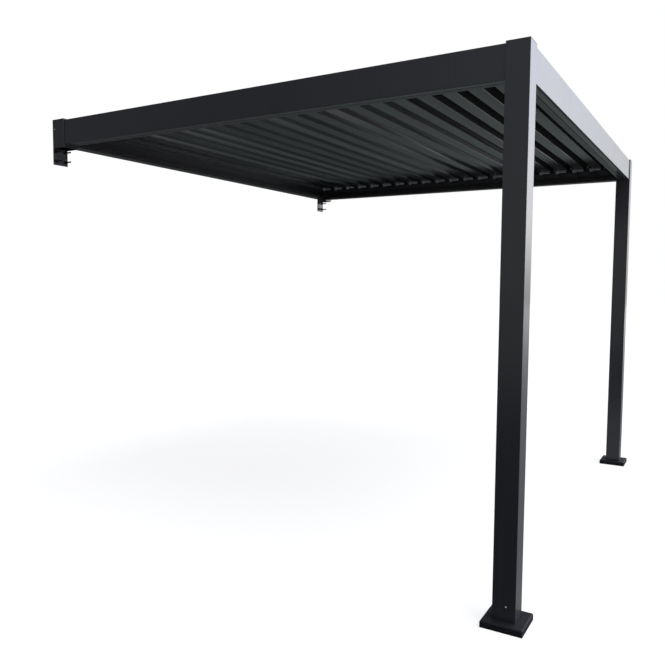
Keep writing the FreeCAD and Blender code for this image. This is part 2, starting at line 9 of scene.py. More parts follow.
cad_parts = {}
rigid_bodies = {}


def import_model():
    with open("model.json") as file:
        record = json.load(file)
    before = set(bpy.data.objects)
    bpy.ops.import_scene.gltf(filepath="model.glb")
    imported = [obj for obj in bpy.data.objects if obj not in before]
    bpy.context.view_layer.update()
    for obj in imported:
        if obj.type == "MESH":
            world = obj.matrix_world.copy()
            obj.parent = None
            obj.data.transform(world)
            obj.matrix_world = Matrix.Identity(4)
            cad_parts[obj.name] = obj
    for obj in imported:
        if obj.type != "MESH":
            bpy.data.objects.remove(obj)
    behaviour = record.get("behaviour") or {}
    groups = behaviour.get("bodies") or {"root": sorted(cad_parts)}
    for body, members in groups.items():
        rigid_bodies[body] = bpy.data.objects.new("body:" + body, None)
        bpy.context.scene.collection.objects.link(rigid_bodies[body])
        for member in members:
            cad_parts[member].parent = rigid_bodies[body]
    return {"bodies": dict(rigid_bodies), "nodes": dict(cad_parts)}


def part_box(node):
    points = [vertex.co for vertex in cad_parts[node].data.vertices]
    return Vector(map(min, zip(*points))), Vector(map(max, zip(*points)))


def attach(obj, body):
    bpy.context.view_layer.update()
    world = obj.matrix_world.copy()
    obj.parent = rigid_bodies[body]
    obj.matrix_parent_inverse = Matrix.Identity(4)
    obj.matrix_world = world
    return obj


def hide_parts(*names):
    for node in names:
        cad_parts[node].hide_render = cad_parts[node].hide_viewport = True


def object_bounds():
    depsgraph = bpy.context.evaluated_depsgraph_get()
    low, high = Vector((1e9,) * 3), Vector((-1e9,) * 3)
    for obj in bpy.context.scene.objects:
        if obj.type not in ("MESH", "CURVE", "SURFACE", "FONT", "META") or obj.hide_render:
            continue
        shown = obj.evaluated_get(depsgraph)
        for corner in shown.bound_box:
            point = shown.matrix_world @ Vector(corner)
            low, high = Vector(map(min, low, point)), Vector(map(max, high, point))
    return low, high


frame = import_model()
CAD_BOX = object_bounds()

bl_info = {
    "name": "Wall Pergola",
    "version": (1, 0, 0),
    "blender": (4, 5, 0),
    "location": "View3D > Sidebar > Pergola",
    "description": "Dresses a wall-mounted louvred pergola with its finishes, fasteners and stage",
    "category": "Object",
}

ROOT = "roof_frame"
SIDES = {"near": -1, "far": 1}
LOUVRES = sorted(name for name in frame["bodies"] if name.startswith("louvre_"))
GROUND = CAD_BOX[0][2]

# Corner radius of a hexagon for each unit of its width across flats
HEXAGON = 0.577

# Edges sharper than this are bevelled, in degrees
EDGE_ANGLE = 30

# Doubles closer than this are merged, in metres, and faces flatter than this become one, in degrees
MERGE_DISTANCE = 1e-6
FLAT_ANGLE = 1

# Heights in the shut roof, in metres: only the levers lie below the first pair
LEVER_TOP = (0.0302, 0.0306)

# Above this pair, faces that don't look up lie in the channels between the louvres, where shade is painted in
CHANNEL = (0.033, 0.037)

# The channels' painted shade deepens between these distances from the wall, towards the front, from the first
# share to the second
CHANNEL_SPAN = (1.7, 2.5)
CHANNEL_SHARE = (0.42, 1.12)


class Wire:
    """One output of a node tree that takes part in expressions."""

    def __init__(self, nodes, socket):
        self.nodes = nodes
        self.socket = socket

    def math(self, operation, *values):
        return self.nodes.add("ShaderNodeMath", {"operation": operation}, dict(enumerate(values)))

    def __add__(self, other):
        return self.math("ADD", self, other)

    def __radd__(self, other):
        return self.math("ADD", other, self)

    def __sub__(self, other):
        return self.math("SUBTRACT", self, other)

    def __rsub__(self, other):
        return self.math("SUBTRACT", other, self)

    def __mul__(self, other):
        return self.math("MULTIPLY", self, other)

    def __rmul__(self, other):
        return self.math("MULTIPLY", other, self)

    def twin(self, name):
        """Another output of the same node."""
        return Wire(self.nodes, self.socket.node.outputs[name])


class Nodes:
    """Builds one node tree from node types, settings and values."""

    def __init__(self, tree):
        self.tree = tree

    def add(self, kind, settings=None, values=None, out=0):
        """Adds a node, sets it up, gives its sockets values or links, and returns one output."""
        node = self.tree.nodes.new(kind)
        for name, value in (settings or {}).items():
            setattr(node, name, value)
        for name, value in (values or {}).items():
            socket = node.inputs[name]
            if isinstance(value, (list, tuple)) and value and isinstance(value[0], Wire):
                for wire in value:
                    self.tree.links.new(wire.socket, socket)
            elif isinstance(value, Wire):
                self.tree.links.new(value.socket, socket)
            else:
                socket.default_value = value
        return Wire(self, node.outputs[out]) if len(node.outputs) else None

    def mix(self, factor, first, second):
        """Mixes two colours."""
        settings = {"data_type": "RGBA", "clamp_factor": True}
        return self.add("ShaderNodeMix", settings, {0: factor, 6: first, 7: second}, out=2)

    def noise(self, place, scale, detail=2.0, roughness=0.5):
        values = {"Vector": place, "Scale": scale, "Detail": detail, "Roughness": roughness}
        return self.add("ShaderNodeTexNoise", None, values)

    def stretched(self, place, scale):
        """Stretches a pattern by a factor along each axis."""
        return self.add("ShaderNodeMapping", None, {"Vector": place, "Scale": scale})

    def part(self, vector, axis):
        """One part of a vector."""
        return self.add("ShaderNodeSeparateXYZ", None, {"Vector": vector}, out=axis)

    def between(self, value, low, high, new_low=0.0, new_high=1.0):
        """Maps a value smoothly from one range to another."""
        values = {"Value": value, "From Min": low, "From Max": high, "To Min": new_low, "To Max": new_high}
        return self.add("ShaderNodeMapRange", {"interpolation_type": "SMOOTHSTEP"}, values)

    def upward(self):
        """How far a surface faces up, in the piece's own space."""
        return self.part(self.add("ShaderNodeTexCoord", out="Normal"), "Z")


def shade(colour, factor=1.0):
    """A colour made darker or paler, with its alpha."""
    return (*[channel * factor for channel in colour], 1.0)


def grey(level):
    return shade((level, level, level))


def new_material(name):
    material = bpy.data.materials.new(name)
    material.use_nodes = True
    material.node_tree.nodes.clear()
    return material, Nodes(material.node_tree)


def surface(nodes, shader):
    nodes.add("ShaderNodeOutputMaterial", None, {"Surface": shader})


def bump(nodes, height, distance):
    return nodes.add("ShaderNodeBump", None, {"Height": height, "Distance": distance})


def powder_coat(name, colour, roughness, dust, coat, specular=0.6, channels=False):
    """Powder-coated aluminium: fine grain, cloudy tone, rain marks down its faces and dust on top; with
    channels, painted shade between the louvres and dark matt levers.
    """
    material, nodes = new_material(name)
    dust_colour = shade(bpy.context.scene.pergola.finishes.dust_colour)
    place = nodes.add("ShaderNodeTexCoord", out="Object")
    cloud = nodes.noise(place, scale=2.6, detail=4.0, roughness=0.55)
    grain = nodes.noise(place, scale=1500.0, detail=2.0, roughness=0.6)
    peel = nodes.noise(place, scale=260.0, detail=1.0)
    streaks = nodes.noise(nodes.stretched(place, (42.0, 42.0, 1.1)), scale=1.0, detail=3.0, roughness=0.6)
    marks = nodes.between(streaks, 0.52, 0.74)
    patches = nodes.noise(place, scale=19.0, detail=5.0, roughness=0.65)
    settled = nodes.between(nodes.upward(), 0.35, 0.95) * nodes.between(patches, 0.3, 0.75, 0.35, 1.0) * dust
    tone = nodes.mix(cloud, shade(colour, 0.86), shade(colour, 1.14))
    speckled = nodes.mix(nodes.between(grain, 0.45, 0.75) * 0.22, tone, shade(colour, 1.9))
    rained = nodes.mix(marks * 0.06, speckled, dust_colour)
    values = {
        "Base Color": nodes.mix(settled, rained, dust_colour),
        "Roughness": roughness + (cloud - 0.5) * 0.10 + marks * 0.05 + settled * 0.3,
        "Coat Weight": coat,
        "Coat Roughness": 0.16,
        "Specular IOR Level": specular,
        "Normal": bump(nodes, grain * 0.45 + peel * 0.55, distance=0.00006),
    }
    shader = nodes.add("ShaderNodeBsdfPrincipled", None, values)
    if channels:
        # The colour of the painted shade in the channels and of the levers' dark matt finish
        shade_and_lever_colour = nodes.mix(cloud, shade(colour, 0.12), shade(colour, 0.22))
        shader = channel_shade_and_levers(nodes, place, shade_and_lever_colour, shader)
    surface(nodes, shader)
    return material


def channel_shade_and_levers(nodes, place, colour, shader):
    """Painted shade in the channels between the louvres, deeper towards the front, and a dark matt finish on
    the levers.
    """
    height = nodes.part(place, "Z")
    # The levers below LEVER_TOP get a dark matt finish; the channel faces above CHANNEL get painted shade,
    # deeper towards the front
    levers = 1 - nodes.between(height, *LEVER_TOP)
    channels = nodes.between(height, *CHANNEL) * (1 - nodes.between(nodes.upward(), 0.2, 0.5))
    shade_and_lever_mask = channels * nodes.between(height.twin("X"), *CHANNEL_SPAN, *CHANNEL_SHARE) + levers
    # A dark matt surface that shows the painted shade in the channels and the levers' finish
    matt = {"Base Color": colour, "Roughness": 0.7, "Specular IOR Level": 0.08}
    dull = nodes.add("ShaderNodeBsdfPrincipled", None, matt)
    return nodes.add("ShaderNodeMixShader", None, {0: shade_and_lever_mask * 0.9, 1: shader, 2: dull})


def galvanised(name, colour):
    """Hot-dip galvanised steel with its spangle and dull patches."""
    material, nodes = new_material(name)
    place = nodes.add("ShaderNodeTexCoord", out="Object")
    crystals = nodes.add("ShaderNodeTexVoronoi", None, {"Vector": place, "Scale": 85.0}, out="Color")
    spangle = nodes.part(crystals, "X")
    dull = nodes.between(nodes.noise(place, scale=14.0, detail=4.0, roughness=0.6), 0.45, 0.7)
    base = nodes.mix(spangle, shade(colour, 0.72), shade(colour, 1.2))
    weathered = nodes.mix(dull * 0.5, base, shade(colour, 0.6))
    values = {
        "Base Color": weathered,
        "Metallic": 0.85,
        "Roughness": 0.34 + spangle * 0.14 + dull * 0.18,
        "Normal": bump(nodes, nodes.noise(place, scale=420.0, detail=2.0), distance=0.00012),
    }
    surface(nodes, nodes.add("ShaderNodeBsdfPrincipled", None, values))
    return material


def plain_metal(name, colour, roughness, grain_scale):
    """Bare metal with fine marks; the grain is drawn out by grain_scale along each axis."""
    material, nodes = new_material(name)
    place = nodes.add("ShaderNodeTexCoord", out="Object")
    lines = nodes.noise(nodes.stretched(place, grain_scale), scale=1.0, detail=3.0, roughness=0.6)
    haze = nodes.noise(place, scale=23.0, detail=3.0)
    values = {
        "Base Color": nodes.mix(haze, shade(colour, 0.82), shade(colour, 1.12)),
        "Metallic": 0.95,
        "Roughness": roughness + (lines - 0.5) * 0.2 + (haze - 0.5) * 0.1,
        "Normal": bump(nodes, lines, distance=0.00005),
    }
    surface(nodes, nodes.add("ShaderNodeBsdfPrincipled", None, values))
    return material


def moulded_plastic(name, colour, roughness):
    """Moulded plastic with a fine matt grain."""
    material, nodes = new_material(name)
    place = nodes.add("ShaderNodeTexCoord", out="Object")
    grain = nodes.noise(place, scale=900.0, detail=2.0, roughness=0.6)
    cloud = nodes.noise(place, scale=12.0, detail=3.0)
    values = {
        "Base Color": nodes.mix(cloud, shade(colour, 0.85), shade(colour, 1.15)),
        "Roughness": roughness + (cloud - 0.5) * 0.12,
        "Normal": bump(nodes, grain, distance=0.00008),
    }
    surface(nodes, nodes.add("ShaderNodeBsdfPrincipled", None, values))
    return material


def finish_of(name):
    """The material of one finish, made when it is first asked for."""
    known = bpy.data.materials.get(name)
    if known:
        return known
    chosen = bpy.context.scene.pergola.finishes
    makers = {
        "frame_coat": (powder_coat, chosen.frame_colour,
                       {"roughness": chosen.frame_roughness, "dust": 0.22, "coat": 0.6}),
        "cover_coat": (powder_coat, chosen.cover_colour,
                       {"roughness": chosen.cover_roughness, "dust": 0.04, "coat": 0.0, "specular": 0.25}),
        # A darker copy of the frame's coat: painted shade for the pieces under the roof and against the wall
        "gutter_coat": (powder_coat, chosen.gutter_colour_and_shade,
                        {"roughness": chosen.gutter_roughness, "dust": 0.3, "coat": 0.3}),
        # The louvres' coat carries painted shade in the channels between them
        "louvre_coat": (powder_coat, chosen.louvre_colour,
                        {"roughness": chosen.louvre_roughness, "dust": 0.26, "coat": 0.4, "channels": True}),
        "galvanised_steel": (galvanised, chosen.steel_colour, {}),
        "rail_metal": (plain_metal, chosen.rail_colour,
                       {"roughness": 0.42, "grain_scale": (3.0, 900.0, 900.0)}),
        # Black metal for the link bar and the anchor bolts, real parts whose black is painted shade so they
        # pass for the shade they sit in
        "link_metal": (plain_metal, chosen.black_as_shade_colour,
                       {"roughness": 0.42, "grain_scale": (6.0, 500.0, 500.0)}),
        "zinc_fastener": (plain_metal, chosen.zinc_colour,
                          {"roughness": 0.3, "grain_scale": (700.0, 700.0, 700.0)}),
        "pale_plastic": (moulded_plastic, chosen.bearing_colour, {"roughness": 0.42}),
        # Near-black plastic for the strips in the drip grooves: painted shade
        "dark_plastic": (moulded_plastic, chosen.groove_shade_colour, {"roughness": 0.5}),
    }
    make, colour, settings = makers[name]
    return make(name, colour, **settings)


def link_new(name, mesh, material):
    """Adds a finished mesh to the scene as a piece with its material."""
    piece = bpy.data.objects.new(name, mesh)
    bpy.context.scene.collection.objects.link(piece)
    if material is not None:
        mesh.materials.clear()
        mesh.materials.append(material)
    return piece


def evaluated(piece, name, material):
    """The piece's mesh with its modifiers applied, as a new plain piece; the old one goes."""
    bpy.context.view_layer.update()
    depsgraph = bpy.context.evaluated_depsgraph_get()
    mesh = bpy.data.meshes.new_from_object(piece.evaluated_get(depsgraph), depsgraph=depsgraph)
    mesh.name = name
    bpy.data.objects.remove(piece)
    return link_new(name, mesh, material)


def smooth_by_angle(mesh):
    mesh.shade_smooth()
    mesh.set_sharp_from_angle(angle=math.radians(EDGE_ANGLE))


def clean_copy(node):
    """A CAD node's mesh as merged, flat-sided faces."""
    mesh = frame["nodes"][node].data.copy()
    bm = bmesh.new()
    bm.from_mesh(mesh)
    bmesh.ops.remove_doubles(bm, verts=bm.verts, dist=MERGE_DISTANCE)
    bmesh.ops.dissolve_limit(bm, angle_limit=math.radians(FLAT_ANGLE), verts=bm.verts, edges=bm.edges)
    bm.to_mesh(mesh)
    bm.free()
    return mesh


def bevelled(piece, name, width, material, segments=2):
    """The piece with rounded edges, or plain chamfers of one segment, as a plain mesh."""
    smooth_by_angle(piece.data)
    bevel = piece.modifiers.new("Bevel", "BEVEL")
    bevel.width = width
    bevel.segments = segments
    bevel.limit_method = "ANGLE"
    bevel.angle_limit = math.radians(EDGE_ANGLE)
    bevel.harden_normals = segments > 1
    done = evaluated(piece, name, material)
    if segments == 1:
        smooth_by_angle(done.data)
    return done


def box_piece(name, low, high):
    """A plain block between two corners."""
    mesh = bpy.data.meshes.new(name)
    bm = bmesh.new()
    bmesh.ops.create_cube(bm, size=1)
    for vertex in bm.verts:
        for axis in range(3):
            vertex.co[axis] = low[axis] if vertex.co[axis] < 0 else high[axis]
    bm.to_mesh(mesh)
    bm.free()
    return link_new(name, mesh, None)


def cut_by(piece, cutter):
    """The piece with the cutter's shape taken out; the cutter goes."""
    cut = piece.modifiers.new("Cut", "BOOLEAN")
    cut.operation = "DIFFERENCE"
    cut.solver = "EXACT"
    cut.object = cutter
    done = evaluated(piece, f"{piece.name}_cut", None)
    bpy.data.objects.remove(cutter)
    return done


def dress(node, name, edge, finish, body=ROOT, segments=2, cutter=None):
    """A copy of a CAD node with rounded edges and its finish, which stands for the node."""
    piece = link_new(name + "_raw", clean_copy(node), None)
    if cutter is not None:
        piece = cut_by(piece, cutter)
    piece = bevelled(piece, name, edge, finish_of(finish), segments)
    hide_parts(node)
    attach(piece, body)
    return piece


def facing(direction):
    """The turn that points a fastener's axis along a direction."""
    return Vector((0, 0, 1)).rotation_difference(Vector(direction))


def points_mesh(name, spots):
    """A mesh of points, each with the turn of the thing that goes there."""
    mesh = bpy.data.meshes.new(name)
    mesh.from_pydata([spot for spot, direction in spots], [], [])
    turns = mesh.attributes.new("turn", "QUATERNION", "POINT")
    values = [number for spot, direction in spots for number in facing(direction)]
    turns.data.foreach_set("value", values)
    return mesh


def new_geometry_tree(name, inputs):
    """A Geometry Nodes tree with a geometry in and out and named sizes."""
    tree = bpy.data.node_groups.new(name, "GeometryNodeTree")
    tree.interface.new_socket("Geometry", in_out="INPUT", socket_type="NodeSocketGeometry")
    tree.interface.new_socket("Geometry", in_out="OUTPUT", socket_type="NodeSocketGeometry")
    for label, default in inputs:
        socket = tree.interface.new_socket(label, in_out="INPUT", socket_type="NodeSocketFloat")
        socket.default_value = default
    return tree, Nodes(tree)


def cylinder(nodes, radius, depth, sides, middle):
    """A closed cylinder along Z, moved up to its middle."""
    made = nodes.add("GeometryNodeMeshCylinder", None, {"Vertices": sides, "Radius": radius, "Depth": depth})
    lift = nodes.add("ShaderNodeCombineXYZ", None, {"Z": middle})
    return nodes.add("GeometryNodeTransform", None, {"Geometry": made, "Translation": lift})


def cone(nodes, low, high, depth, sides, foot):
    """A closed cut cone along Z from its low to its high radius, standing at foot."""
    values = {"Vertices": sides, "Radius Top": high, "Radius Bottom": low, "Depth": depth}
    made = nodes.add("GeometryNodeMeshCone", None, values)
    lift = nodes.add("ShaderNodeCombineXYZ", None, {"Z": foot})
    return nodes.add("GeometryNodeTransform", None, {"Geometry": made, "Translation": lift})


def finish_tree(nodes, given, instance, material):
    """Puts the instance on every point, makes it real and gives it its material."""
    points = nodes.add("GeometryNodeMeshToPoints", None, {"Mesh": given})
    turn = nodes.add("GeometryNodeInputNamedAttribute", {"data_type": "QUATERNION"}, {"Name": "turn"})
    values = {"Points": points, "Instance": instance, "Rotation": turn}
    placed = nodes.add("GeometryNodeInstanceOnPoints", None, values)
    real = nodes.add("GeometryNodeRealizeInstances", None, {"Geometry": placed})
    coloured = nodes.add("GeometryNodeSetMaterial", None, {"Geometry": real, "Material": material})
    nodes.add("NodeGroupOutput", None, {0: coloured})


def group_inputs(nodes, count):
    """The tree's geometry and its sizes."""
    given = nodes.add("NodeGroupInput")
    return [given.twin(index) for index in range(count + 1)]


def socket_screw_tree(material):
    """Pan-head screw with a hexagon socket."""
    inputs = [("Head diameter", 0.01), ("Head height", 0.004), ("Socket width", 0.004)]
    tree, nodes = new_geometry_tree("socket_screw", inputs)
    given, diameter, height, socket = group_inputs(nodes, 3)
    radius = diameter * 0.5
    shoulder = radius * 0.94
    washer = cylinder(nodes, radius=radius * 1.12, depth=height * 0.3, sides=28, middle=height * 0.1)
    skirt = cone(nodes, low=radius, high=shoulder, depth=height * 0.5, sides=28, foot=height * 0.2)
    dome = cone(nodes, low=shoulder, high=radius * 0.66, depth=height * 0.32, sides=28, foot=height * 0.7)
    hole = cylinder(nodes, radius=socket * HEXAGON, depth=height, sides=6, middle=height * 1.12)
    joined = nodes.add("GeometryNodeJoinGeometry", None, {"Geometry": [dome, skirt, washer]})
    settings = {"operation": "DIFFERENCE", "solver": "EXACT"}
    cut = nodes.add("GeometryNodeMeshBoolean", settings, {"Mesh 1": joined, "Mesh 2": hole})
    finish_tree(nodes, given, cut, material)
    return tree


def hexagon_bolt_tree(material):
    """Hexagon bolt head or nut on a washer, with a short thread end."""
    inputs = [("Width across flats", 0.017), ("Head height", 0.006), ("Washer diameter", 0.024),
              ("Thread end", 0.004)]
    tree, nodes = new_geometry_tree("hexagon_bolt", inputs)
    given, width, height, washer, thread = group_inputs(nodes, 4)
    top = height * 1.25
    plate = cylinder(nodes, radius=washer * 0.5, depth=height * 0.25, sides=32, middle=height * 0.125)
    head = cylinder(nodes, radius=width * HEXAGON, depth=height, sides=6, middle=height * 0.75)
    crown = cone(nodes, low=width * 0.5, high=width * 0.43, depth=height * 0.16, sides=28, foot=top)
    end = cylinder(nodes, radius=width * 0.3, depth=thread, sides=20, middle=top + thread * 0.5)
    joined = nodes.add("GeometryNodeJoinGeometry", None, {"Geometry": [end, crown, head, plate]})
    finish_tree(nodes, given, joined, material)
    return tree


def lever_fitting_tree(material):
    """Bearing ring around a link pin and the clamp that runs from it along the lever's arm."""
    inputs = [("Ring diameter", 0.026), ("Ring width", 0.005), ("Depth", 0.004), ("Arm length", 0.06),
              ("Arm height", 0.007), ("Arm drop", 0.002)]
    tree, nodes = new_geometry_tree("lever_fitting", inputs)
    given, diameter, width, depth, length, height, drop = group_inputs(nodes, 6)
    radius = (diameter - width) * 0.5
    circle = nodes.add("GeometryNodeCurvePrimitiveCircle", None, {"Resolution": 40, "Radius": radius})
    section = nodes.add("GeometryNodeCurvePrimitiveQuadrilateral", None, {"Width": width, "Height": depth})
    ring = nodes.add("GeometryNodeCurveToMesh", None, {"Curve": circle, "Profile Curve": section})
    ring_lift = nodes.add("ShaderNodeCombineXYZ", None, {"Z": depth * 0.5})
    ring = nodes.add("GeometryNodeTransform", None, {"Geometry": ring, "Translation": ring_lift})
    size = nodes.add("ShaderNodeCombineXYZ", None, {"X": length, "Y": height, "Z": depth * 0.8})
    arm = nodes.add("GeometryNodeMeshCube", None, {"Size": size})
    arm_middle = {"X": (diameter + length) * 0.5 - width * 0.5, "Y": 0 - drop, "Z": depth * 0.4}
    arm_place = nodes.add("ShaderNodeCombineXYZ", None, arm_middle)
    arm = nodes.add("GeometryNodeTransform", None, {"Geometry": arm, "Translation": arm_place})
    stud = cylinder(nodes, radius=diameter * 0.16, depth=depth * 1.2, sides=24, middle=depth * 0.6)
    joined = nodes.add("GeometryNodeJoinGeometry", None, {"Geometry": [stud, arm, ring]})
    finish_tree(nodes, given, joined, material)
    return tree


def scatter(name, tree, sizes, spots, body):
    """Runs a tree on the spots with its sizes and keeps the result as one plain piece on a body."""
    piece = link_new(name + "_points", points_mesh(name + "_points", spots), None)
    modifier = piece.modifiers.new("Fasteners", "NODES")
    modifier.node_group = tree
    for item in tree.interface.items_tree:
        if item.in_out == "INPUT" and item.name in sizes:
            modifier[item.identifier] = sizes[item.name]
    piece = evaluated(piece, name, None)
    smooth_by_angle(piece.data)
    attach(piece, body)
    return piece


class PergolaFinishes(bpy.types.PropertyGroup):
    frame_colour: FloatVectorProperty(
        name="Frame colour", description="Powder coat of the posts and beams",
        subtype="COLOR", size=3, min=0, max=1, default=(0.019, 0.0205, 0.0245))
    frame_roughness: FloatProperty(
        name="Frame roughness", description="Roughness of the frame's powder coat",
        subtype="FACTOR", min=0, max=1, default=0.32)
    cover_colour: FloatVectorProperty(
        name="Cover colour", description="Matt powder coat of the base covers",
        subtype="COLOR", size=3, min=0, max=1, default=(0.0075, 0.0095, 0.013))
    cover_roughness: FloatProperty(
        name="Cover roughness", description="Roughness of the base covers' powder coat",
        subtype="FACTOR", min=0, max=1, default=0.62)
    # Half the frame's colour: the gutters' coat with painted shade for the gutters, the closing strip and the
    # wall beam under the roof
    gutter_colour_and_shade: FloatVectorProperty(
        name="Gutter colour", description="Powder coat of the gutters and the closing strip",
        subtype="COLOR", size=3, min=0, max=1, default=(0.0095, 0.0105, 0.012))
    gutter_roughness: FloatProperty(
        name="Gutter roughness", description="Roughness of the gutters' powder coat",
        subtype="FACTOR", min=0, max=1, default=0.4)
    louvre_colour: FloatVectorProperty(
        name="Louvre colour", description="Powder coat of the louvres",
        subtype="COLOR", size=3, min=0, max=1, default=(0.0195, 0.022, 0.0205))
    louvre_roughness: FloatProperty(
        name="Louvre roughness", description="Roughness of the louvres' powder coat",
        subtype="FACTOR", min=0, max=1, default=0.2)
    dust_colour: FloatVectorProperty(
        name="Dust colour", description="Pale dust that settles on faces that look up",
        subtype="COLOR", size=3, min=0, max=1, default=(0.12, 0.115, 0.105))
    steel_colour: FloatVectorProperty(
        name="Bracket steel colour", description="Galvanised steel of brackets and anchor plates",
        subtype="COLOR", size=3, min=0, max=1, default=(0.15, 0.155, 0.165))
    rail_colour: FloatVectorProperty(
        name="Rail colour", description="Aluminium of the pivot rails",
        subtype="COLOR", size=3, min=0, max=1, default=(0.16, 0.165, 0.17))
    # Black so that the link bar and the anchor bolts show as the shade around them: real parts with painted
    # shade for colour
    black_as_shade_colour: FloatVectorProperty(
        name="Link colour", description="Black passivation of the link bar",
        subtype="COLOR", size=3, min=0, max=1, default=(0.05, 0.05, 0.052))
    zinc_colour: FloatVectorProperty(
        name="Zinc colour", description="Zinc plating of the anchors and screws",
        subtype="COLOR", size=3, min=0, max=1, default=(0.62, 0.63, 0.64))
    bearing_colour: FloatVectorProperty(
        name="Bearing colour", description="Moulded plastic of the levers' bearings and clamps",
        subtype="COLOR", size=3, min=0, max=1, default=(0.8, 0.81, 0.82))
    # Near-black for the strips that fill the beams' drip grooves: painted shade of the grooves
    groove_shade_colour: FloatVectorProperty(
        name="Seal colour", description="Rubber of the seals",
        subtype="COLOR", size=3, min=0, max=1, default=(0.004, 0.004, 0.0045))


class PergolaEdges(bpy.types.PropertyGroup):
    drip_inset: FloatProperty(
        name="Drip groove inset", description="Drip groove from the beams' outer face",
        unit="LENGTH", default=0.0025)
    drip_width: FloatProperty(
        name="Drip groove width", description="Width of the beams' drip groove",
        unit="LENGTH", default=0.012)
    drip_depth: FloatProperty(
        name="Drip groove depth", description="Depth of the beams' drip groove",
        unit="LENGTH", default=0.0018)
    # How far up from the drip groove's mouth its strip of painted shade sits
    groove_shade_recess: FloatProperty(
        name="Seal recess", description="Seal above the drip groove's mouth",
        unit="LENGTH", default=0.0003)
    post_edge: FloatProperty(
        name="Post edge", description="Rounding of the posts' edges",
        unit="LENGTH", default=0.0022)
    beam_edge: FloatProperty(
        name="Beam edge", description="Rounding of the beams' edges",
        unit="LENGTH", default=0.0016)
    sheet_edge: FloatProperty(
        name="Sheet edge", description="Rounding of caps, covers, gutters and plates",
        unit="LENGTH", default=0.0006)
    louvre_edge: FloatProperty(
        name="Louvre edge", description="Chamfer of the louvres' edges",
        unit="LENGTH", default=0.0006)
    bar_edge: FloatProperty(
        name="Bar edge", description="Chamfer of the pivot rails and the link bar",
        unit="LENGTH", default=0.0003)


class PergolaFasteners(bpy.types.PropertyGroup):
    ring_diameter: FloatProperty(
        name="Bearing ring", description="Diameter of the levers' bearing rings",
        unit="LENGTH", default=0.029)
    ring_width: FloatProperty(
        name="Bearing ring width", description="Width of the levers' bearing rings",
        unit="LENGTH", default=0.0055)
    arm_length: FloatProperty(
        name="Clamp length", description="Length of the clamps on the levers' arms",
        unit="LENGTH", default=0.062)
    arm_drop: FloatProperty(
        name="Clamp drop", description="Clamps below the link pins",
        unit="LENGTH", default=0.002)
    screw_head: FloatProperty(
        name="Screw head", description="Diameter of the screw heads",
        unit="LENGTH", default=0.0095)
    screw_height: FloatProperty(
        name="Screw head height", description="Height of the screw heads",
        unit="LENGTH", default=0.0042)
    screw_socket: FloatProperty(
        name="Screw socket", description="Width of the screws' hexagon socket",
        unit="LENGTH", default=0.005)
    anchor_width: FloatProperty(
        name="Anchor nut width", description="Wall anchors' nuts, across flats",
        unit="LENGTH", default=0.016)
    anchor_height: FloatProperty(
        name="Anchor nut height", description="Height of the wall anchors' nuts",
        unit="LENGTH", default=0.008)
    anchor_thread: FloatProperty(
        name="Anchor thread", description="Thread beyond the wall anchors' nuts",
        unit="LENGTH", default=0.04)


class PergolaStage(bpy.types.PropertyGroup):
    floor_size: FloatProperty(
        name="Floor size", description="Side of the floor", unit="LENGTH", default=90.0)
    floor_level: FloatProperty(
        name="Floor white", description="Part of the floor's white that no shadow darkens",
        subtype="FACTOR", min=0, max=1, default=0.78)
    floor_shade: FloatProperty(
        name="Floor shade", description="Grey of the floor for light that bounces",
        subtype="FACTOR", min=0, max=1, default=0.39)
    side_floor: FloatProperty(
        name="Side floor", description="Grey of the floor beside the front for light that bounces",
        subtype="FACTOR", min=0, max=1, default=0.24)
    far_floor: FloatProperty(
        name="Far floor", description="Grey of the far floor beside the front for light that bounces",
        subtype="FACTOR", min=0, max=1, default=1.0)
    bright_side: FloatProperty(
        name="Bright side", description="Studio light behind the pergola", min=0, default=1.75)
    dark_side: FloatProperty(
        name="Dark side", description="Studio light on the camera's side", min=0, default=0.42)
    house_side: FloatProperty(
        name="House side", description="Part of the studio light that comes from the wall side", min=0, max=1,
        default=0.34)
    key_strength: FloatProperty(
        name="Key light", description="Strength of the soft key light", min=0, default=1.1)
    lens: FloatProperty(
        name="Lens", description="Focal length of the camera", subtype="DISTANCE_CAMERA", default=36.709)


class PergolaSettings(bpy.types.PropertyGroup):
    finishes: PointerProperty(type=PergolaFinishes)
    edges: PointerProperty(type=PergolaEdges)
    fasteners: PointerProperty(type=PergolaFasteners)
    stage: PointerProperty(type=PergolaStage)


